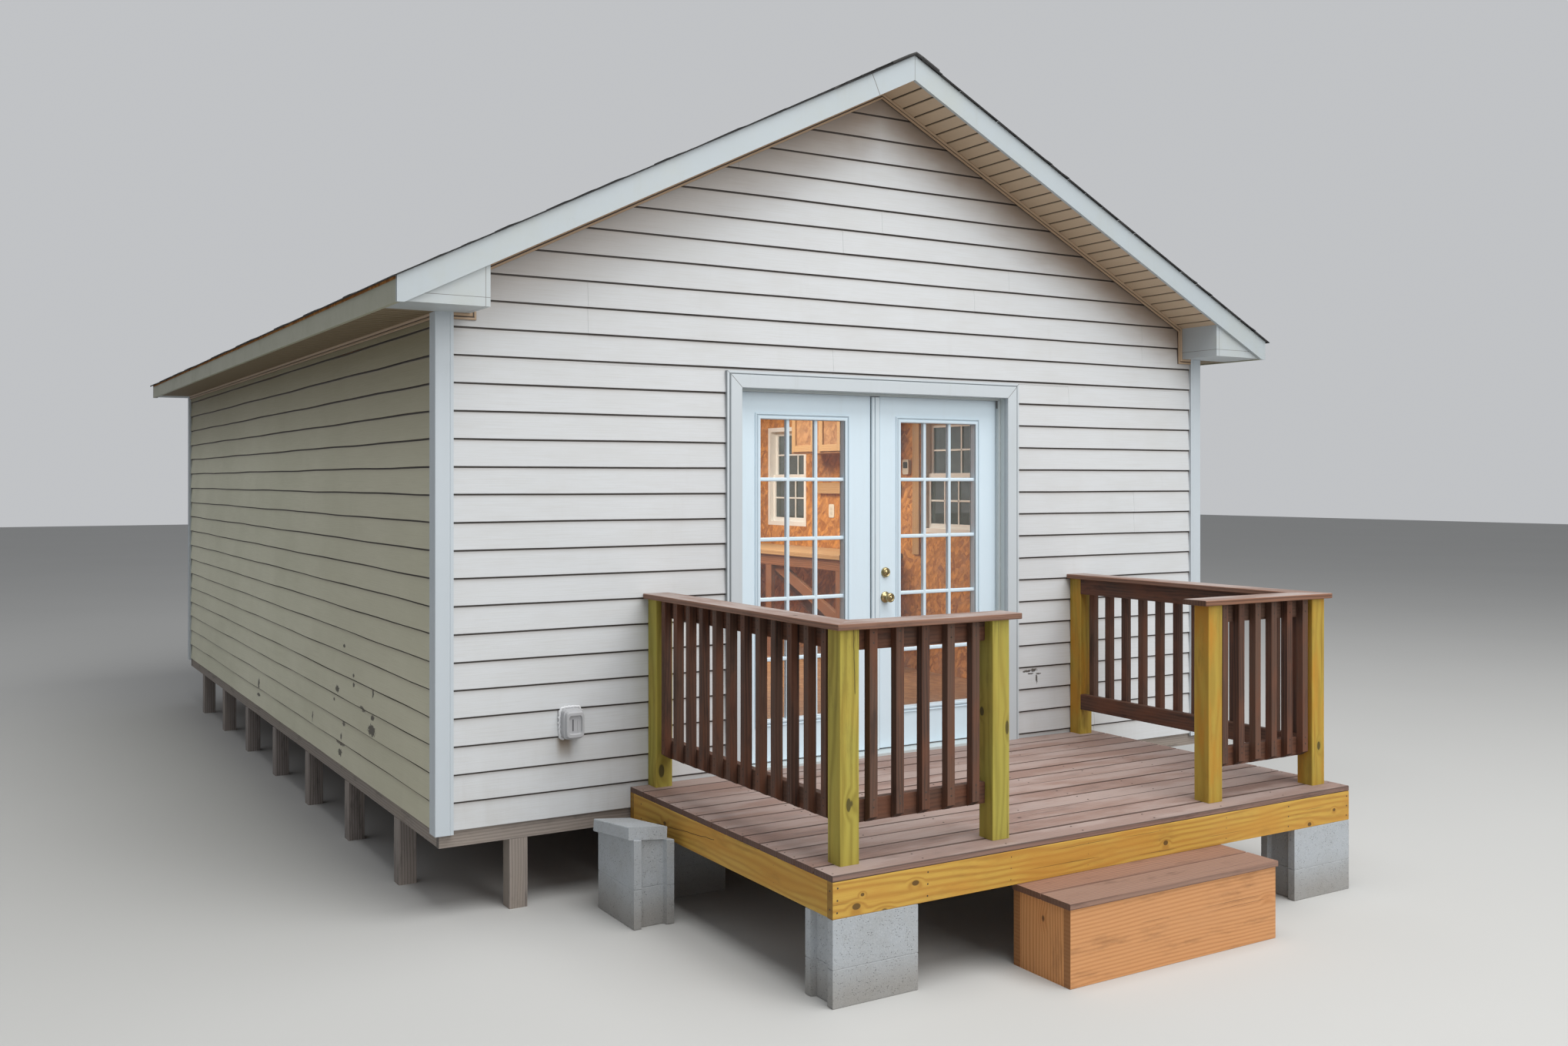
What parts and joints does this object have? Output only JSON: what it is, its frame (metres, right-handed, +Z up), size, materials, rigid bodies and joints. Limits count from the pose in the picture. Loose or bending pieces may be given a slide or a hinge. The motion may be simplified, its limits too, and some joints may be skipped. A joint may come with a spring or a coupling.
{
  "type": "gable garden cabin",
  "caption": "Small gabled timber cabin with lap siding, a shingled roof, glazed doors that open inwards, side windows, and a railed entrance deck with a step.",
  "frame": {"origin": "on the ground, under the middle of the whole outline (from the front of the step to the rear edge of the roof, and midway between the eaves)", "axes": "+X to the right along the front wall as seen from outside, +Y from the deck into the house along the ridge, +Z up"},
  "size_m": [5.457, 9.74, 4.223],
  "materials": {
    "weathered_timber": "rough, weathered grey-brown sawn timber",
    "strand_board": "orange-brown oriented strand board",
    "siding": "off-white lap siding with a faint pressed wood grain",
    "white_trim": "bluish white trim",
    "roof_timber": "plain sawn rafters and roof boards",
    "shingles": "dark charcoal mineral-faced asphalt shingles",
    "fascia": "off-white coated aluminium sheet, slightly green with algae",
    "soffit": "beige grooved soffit panels",
    "door_paint": "pale blue-white satin paint",
    "glass": "clear glass",
    "brass": "tarnished brass",
    "window_white": "white window frame",
    "new_pine": "golden treated pine with knots",
    "deck_wood": "brown-grey stained deck boards",
    "concrete": "pale grey cast concrete block",
    "green_pine": "yellow-green pressure-treated pine with knots",
    "dark_timber": "dark red-brown stained timber",
    "cap_wood": "greyish brown weathered timber",
    "red_timber": "reddish-brown stained timber",
    "grey_plastic": "grey weatherproof plastic",
    "bench_wood": "orange-brown bare timber and board"
  },
  "bodies": {
    "house": {"house_posts": "weathered_timber", "floor_frame": "weathered_timber", "floor": "strand_board", "left_wall": "strand_board", "right_wall": "strand_board", "back_wall": "strand_board", "front_wall_left": "strand_board", "front_wall_right": "strand_board", "front_gable": "strand_board", "siding_front": "siding", "siding_back": "siding", "siding_left": "siding", "siding_right": "siding", "corner_posts": "white_trim", "roof_left": "roof_timber", "roof_right": "roof_timber", "shingles_left": "shingles", "shingles_right": "shingles", "ridge_cap": "shingles", "rake_fascias": "fascia", "eave_fascias": "fascia", "rake_soffits": "soffit", "eave_soffits": "soffit", "eave_returns": "fascia", "soffit_channels": "white_trim", "door_frame": "door_paint", "door_sill": "door_paint", "door_trim": "white_trim", "jamb_hinges": "brass", "window_frames": "window_white", "window_sashes": "window_white", "window_glass": "glass", "window_trims": "white_trim", "deck_frame": "new_pine", "deck_boards": "deck_wood", "deck_piers": "concrete", "deck_posts": "green_pine", "left_side_rail": "dark_timber", "left_front_rail": "dark_timber", "right_side_rail": "dark_timber", "right_front_rail": "dark_timber", "rail_caps": "cap_wood", "step_box": "red_timber", "step_treads": "red_timber", "block_stack": "concrete", "outlet_cover": "grey_plastic", "workbench": "bench_wood", "wall_cupboards": "bench_wood"},
    "left_leaf": {"door_leaf_left": "door_paint", "door_glass_left": "glass", "astragal": "door_paint", "left_leaf_hinges": "brass"},
    "right_leaf": {"door_leaf_right": "door_paint", "door_glass_right": "glass", "door_locks": "brass", "right_leaf_hinges": "brass"}
  },
  "joints": [
    {"name": "left_door_hinge", "type": "hinge", "parent": "house", "child": "left_leaf", "pos_m": [-0.8695, -2.6342, 0.522], "axis": [0, 0, 1], "range_deg": [0, 90]},
    {"name": "right_door_hinge", "type": "hinge", "parent": "house", "child": "right_leaf", "pos_m": [0.8695, -2.6342, 0.522], "axis": [0, 0, -1], "range_deg": [0, 90]}
  ]
}
